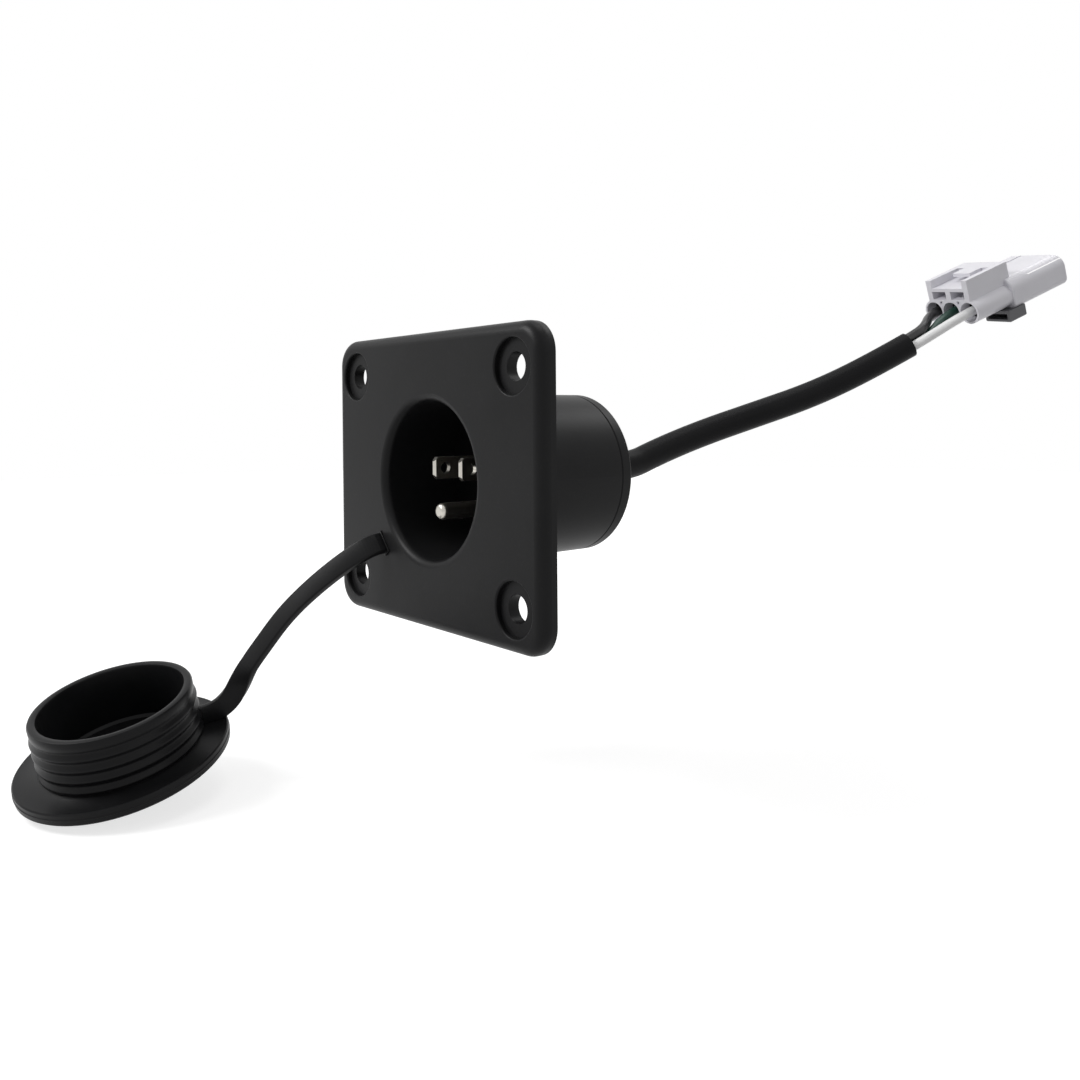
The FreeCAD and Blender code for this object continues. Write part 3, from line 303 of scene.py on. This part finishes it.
# Adds nodes to one node tree, a material's or the world's
class NodeMaker:
    def __init__(self, tree):
        self.tree = tree

    def node(self, kind, settings=None, values=None, output=0):
        made = self.tree.nodes.new(kind)
        for key, value in (settings or {}).items():
            if key == "stops":
                self.setStops(made.color_ramp, value)
            else:
                setattr(made, key, value)
        for key, value in (values or {}).items():
            self.feed(made.inputs[key], value)
        return Socket(self, made.outputs[output])

    def setStops(self, ramp, stops):
        while len(ramp.elements) < len(stops):
            ramp.elements.new(0.5)
        for element, (position, shade) in zip(ramp.elements, stops):
            element.position = position
            element.color = (shade, shade, shade, 1)

    def feed(self, socket, value):
        if isinstance(value, Socket):
            self.tree.links.new(value.output, socket)
        elif isinstance(value, tuple) and len(value) == 3 and len(socket.default_value) == 4:
            socket.default_value = (*value, 1)
        else:
            socket.default_value = value

    # 1 for what the camera sees straight, in a reflection or through glass
    def backdropRays(self):
        seen = self.node("ShaderNodeLightPath", output="Is Camera Ray")
        for ray in ("Is Glossy Ray", "Is Transmission Ray"):
            other = self.node("ShaderNodeLightPath", output=ray)
            seen = self.node("ShaderNodeMath", {"operation": "MAXIMUM"}, {0: seen, 1: other})
        return seen


class Finish(NodeMaker):
    def __init__(self, name):
        self.material = bpy.data.materials.new(name)
        self.material.use_nodes = True
        super().__init__(self.material.node_tree)
        self.shader = self.tree.nodes["Principled BSDF"]

    def place(self):
        return self.node("ShaderNodeTexCoord", output="Object")

    def noise(self, scale, detail=3, roughness=0.5, stretch=(1, 1, 1)):
        where = self.node("ShaderNodeMapping", values={"Vector": self.place(), "Scale": stretch})
        return self.node("ShaderNodeTexNoise", values={
            "Vector": where, "Scale": scale, "Detail": detail, "Roughness": roughness})

    def ramp(self, value, stops):
        return self.node("ShaderNodeValToRGB", {"stops": stops}, {"Fac": value})

    def mix(self, amount, first, second):
        return self.node("ShaderNodeMix", {"data_type": "RGBA"}, {0: amount, 6: first, 7: second}, output=2)

    def between(self, amount, limits):
        low, high = limits
        return amount * (high - low) + low

    def bump(self, height, strength, distance):
        return self.node("ShaderNodeBump", values={
            "Height": height, "Strength": strength, "Distance": distance})

    def wear(self, **sockets):
        for key, value in sockets.items():
            self.feed(self.shader.inputs[key.replace("_", " ").title()], value)
        return self.material


# Black moulded shell: satin plastic with a fine spark-eroded grain and a little dust
shellLook = {
    "colour": (0.0085, 0.0085, 0.009),
    "dust": (0.016, 0.016, 0.0165),
    "cloudScale": 38,
    "cloudStops": [(0.42, 0.0), (0.75, 1.0)],
    "cloudShare": 0.5,
    "speckScale": 900,
    "speckStops": [(0.6, 0.0), (0.75, 1.0)],
    "speckShare": 0.3,
    "grainScale": 2600,
    "grain": (0.35, 0.00004),  # strength and depth
    "roughness": (0.33, 0.46),
    "gloss": 0.11,
}
carrierLook = {
    **shellLook,
    "colour": (0.004, 0.004, 0.004),
    "dust": (0.008, 0.008, 0.008),
    "gloss": 0.06,
}


def makeShellFinish(name, look):
    finish = Finish(name)
    cloud = finish.noise(look["cloudScale"], detail=4, roughness=0.6)
    speck = finish.noise(look["speckScale"], detail=2)
    grain = finish.noise(look["grainScale"], detail=2, roughness=0.6)
    dusty = (finish.ramp(cloud, look["cloudStops"]) * look["cloudShare"]
             + finish.ramp(speck, look["speckStops"]) * look["speckShare"])
    finish.shader.inputs["Specular IOR Level"].default_value = look["gloss"]
    return finish.wear(
        base_color=finish.mix(dusty, look["colour"], look["dust"]),
        roughness=finish.between(cloud, look["roughness"]),
        normal=finish.bump(grain, *look["grain"]),
    )


shellFinish = makeShellFinish("satinShell", shellLook)
carrierFinish = makeShellFinish("carrierBlack", carrierLook)

# Rubber of the cap with its strap, the bushing, the jacket and the wire seals
rubberLook = {
    "colour": (0.0055, 0.0055, 0.006),
    "bloom": (0.012, 0.012, 0.013),
    "bloomScale": 55,
    "bloomStops": [(0.4, 0.0), (0.8, 1.0)],
    "bloomShare": 0.6,
    "grainScale": 1500,
    "grain": (0.3, 0.00005),
    "roughness": (0.42, 0.56),
    "gloss": 0.08,
}
capLook = {**rubberLook, "roughness": (0.3, 0.42), "gloss": 0.12}
jacketLook = {**rubberLook, "roughness": (0.38, 0.5)}
sealLook = {**rubberLook, "colour": (0.012, 0.012, 0.013), "bloom": (0.02, 0.02, 0.021)}


def makeRubberFinish(name, look):
    finish = Finish(name)
    cloud = finish.noise(look["bloomScale"], detail=5, roughness=0.62)
    grain = finish.noise(look["grainScale"], detail=3, roughness=0.7)
    bloomed = finish.ramp(cloud, look["bloomStops"]) * look["bloomShare"]
    finish.shader.inputs["Specular IOR Level"].default_value = look["gloss"]
    return finish.wear(
        base_color=finish.mix(bloomed, look["colour"], look["bloom"]),
        roughness=finish.between(cloud, look["roughness"]),
        normal=finish.bump(grain, *look["grain"]),
    )


capFinish = makeRubberFinish("capRubber", capLook)
bushingFinish = makeRubberFinish("bushingRubber", rubberLook)
jacketFinish = makeRubberFinish("jacketRubber", jacketLook)
sealFinish = makeRubberFinish("sealRubber", sealLook)

# Insulation of the wires
insulationLook = {
    "colours": {"black": (0.01, 0.01, 0.0105), "green": (0.018, 0.058, 0.042), "white": (0.94, 0.94, 0.94)},
    "darker": 0.9,
    "cloudScale": 160,
    "grainScale": 900,
    "grain": (0.15, 0.00004),
    "roughness": (0.3, 0.42),
}


def makeInsulationFinish(wire, look):
    finish = Finish(f"{wire}Insulation")
    cloud = finish.noise(look["cloudScale"])
    grain = finish.noise(look["grainScale"], detail=2)
    colour = look["colours"][wire]
    darker = tuple(part * look["darker"] for part in colour)
    return finish.wear(
        base_color=finish.mix(cloud, darker, colour),
        roughness=finish.between(cloud, look["roughness"]),
        normal=finish.bump(grain, *look["grain"]),
    )


# Natural nylon of the connector and dark nylon of its retainer
nylonLook = {
    "colour": (0.81, 0.8, 0.845),
    "shade": (0.74, 0.73, 0.775),
    "cloudScale": 70,
    "grainScale": 1800,
    "grain": (0.12, 0.00004),
    "roughness": (0.34, 0.46),
}
retainerLook = {
    **nylonLook,
    "colour": (0.1, 0.1, 0.108),
    "shade": (0.07, 0.07, 0.075),
    "roughness": (0.4, 0.5),
}


def makeNylonFinish(name, look):
    finish = Finish(name)
    cloud = finish.noise(look["cloudScale"], detail=4, roughness=0.55)
    grain = finish.noise(look["grainScale"], detail=2)
    return finish.wear(
        base_color=finish.mix(cloud, look["shade"], look["colour"]),
        roughness=finish.between(cloud, look["roughness"]),
        normal=finish.bump(grain, *look["grain"]),
    )


nylonFinish = makeNylonFinish("naturalNylon", nylonLook)
retainerFinish = makeNylonFinish("retainerNylon", retainerLook)

# Plated metals, brushed along the contacts and evenly mottled elsewhere
metalLook = {"brushScale": 420, "brush": (0.05, 0.00002), "stretch": (1, 1, 1), "darker": 0.78}
contactLook = {**metalLook, "colour": (0.56, 0.54, 0.49), "roughness": (0.22, 0.38), "stretch": (1, 0.15, 1)}
terminalLook = {**metalLook, "colour": (0.72, 0.71, 0.68), "roughness": (0.28, 0.44)}
screwLook = {**metalLook, "colour": (0.5, 0.5, 0.5), "roughness": (0.3, 0.46)}


def makeMetalFinish(name, look):
    finish = Finish(name)
    brushed = finish.noise(look["brushScale"], detail=4, roughness=0.65, stretch=look["stretch"])
    darker = tuple(part * look["darker"] for part in look["colour"])
    finish.shader.inputs["Metallic"].default_value = 1.0
    return finish.wear(
        base_color=finish.mix(brushed, darker, look["colour"]),
        roughness=finish.between(brushed, look["roughness"]),
        normal=finish.bump(brushed, *look["brush"]),
    )


contactFinish = makeMetalFinish("nickelPlate", contactLook)
terminalFinish = makeMetalFinish("tinPlate", terminalLook)
screwFinish = makeMetalFinish("zincPlate", screwLook)

nodeFinishes = {
    "flange_housing": shellFinish, "rear_cover": shellFinish,
    "contact_carrier": carrierFinish, "contact_keeper": carrierFinish,
    "line_blade": contactFinish, "neutral_blade": contactFinish, "ground_pin": contactFinish,
    "line_sleeve": terminalFinish, "neutral_sleeve": terminalFinish, "ground_sleeve": terminalFinish,
    "keeper_screws": screwFinish, "cover_screws": screwFinish,
    "cord_bushing": bushingFinish,
    "connector_housing": nylonFinish, "connector_retainer": retainerFinish,
}
for wire in wirePoints:
    nodeFinishes[f"{wire}_wire_seal"] = sealFinish
    nodeFinishes[f"{wire}_terminal"] = terminalFinish
for lead, wire in (("line", "black"), ("neutral", "white"), ("ground", "green")):
    finish = makeInsulationFinish(wire, insulationLook)
    nodeFinishes[f"{lead}_lead"] = finish
    wires[wire].data.materials.append(finish)
jacket.data.materials.append(jacketFinish)
tetheredCap.data.materials.append(capFinish)
for name, finish in nodeFinishes.items():
    mesh = nodes[name].data
    mesh.materials.clear()
    mesh.materials.append(finish)
print("finishes made")

# Floor and studio light; the floor glows for the camera only, to full white at the fade's far end
studio = {
    "floorHeight": -0.0892,
    "floorReach": 1.6,
    "floorCentre": (0, 0.05),
    "floorSides": 96,
    "floorShade": 0.45,
    "floorMottle": 0.02,
    "mottleScale": 6,
    "floorRoughness": 0.9,
    "floorGlow": 0.72,
    "fade": (0.16, 0.5),
    "sky": 0.3,
    "lampTarget": (0, 0.05, -0.01),
}


def makeFloorFinish():
    finish = Finish("palePaper")
    mottle = studio["floorMottle"]
    shade = finish.noise(studio["mottleScale"], detail=2) * mottle + (studio["floorShade"] - mottle / 2)
    reach = finish.node("ShaderNodeVectorMath", {"operation": "LENGTH"}, {0: finish.place()}, output=1)
    near, far = studio["fade"]
    glow = finish.node("ShaderNodeMapRange",
                       values={0: reach, 1: near, 2: far, 3: studio["floorGlow"], 4: 1.0})
    finish.shader.inputs["Roughness"].default_value = studio["floorRoughness"]
    finish.shader.inputs["Emission Strength"].default_value = 1.0
    return finish.wear(
        base_color=finish.node("ShaderNodeCombineColor", values={0: shade, 1: shade, 2: shade}),
        emission_color=finish.mix(finish.backdropRays() * glow, (0, 0, 0), (1, 1, 1)),
    )


def makeFloor():
    shape = bmesh.new()
    centre = Matrix.Translation((*studio["floorCentre"], studio["floorHeight"]))
    bmesh.ops.create_circle(shape, cap_ends=True, segments=studio["floorSides"],
                            radius=studio["floorReach"], matrix=centre)
    mesh = bpy.data.meshes.new("floor")
    shape.to_mesh(mesh)
    shape.free()
    mesh.materials.append(makeFloorFinish())
    floor = bpy.data.objects.new("floor", mesh)
    bpy.context.scene.collection.objects.link(floor)


def makeWorld():
    world = bpy.data.worlds.new("studio")
    bpy.context.scene.world = world
    world.use_nodes = True
    maker = NodeMaker(world.node_tree)
    background = maker.tree.nodes["Background"]
    strength = maker.node("ShaderNodeMapRange", values={
        "Value": maker.backdropRays(), "To Min": studio["sky"], "To Max": 1.0})
    maker.feed(background.inputs["Color"], (1, 1, 1))
    maker.feed(background.inputs["Strength"], strength)


lamps = {
    "keyFromLeft": {"place": (-0.28, -0.42, 0.38), "power": 2.8, "width": 0.25},
    "fillFromRight": {"place": (0.6, 0.1, 0.35), "power": 0.5, "width": 0.6},
    "overhead": {"place": (0.05, 0.1, 0.8), "power": 1.25, "width": 0.4},
    "rimFromBehind": {"place": (0.02, 0.62, 0.6), "power": 0.9, "width": 0.3},
}


def makeLamps():
    target = Vector(studio["lampTarget"])
    for name, lamp in lamps.items():
        data = bpy.data.lights.new(name, "AREA")
        data.energy = lamp["power"]
        data.size = lamp["width"]
        light = bpy.data.objects.new(name, data)
        light.location = lamp["place"]
        light.rotation_euler = (target - Vector(lamp["place"])).to_track_quat("-Z", "Y").to_euler()
        bpy.context.scene.collection.objects.link(light)


makeFloor()
makeWorld()
makeLamps()
bpy.context.scene.view_settings.view_transform = "Standard"
print("studio set")

bpy.context.view_layer.update()
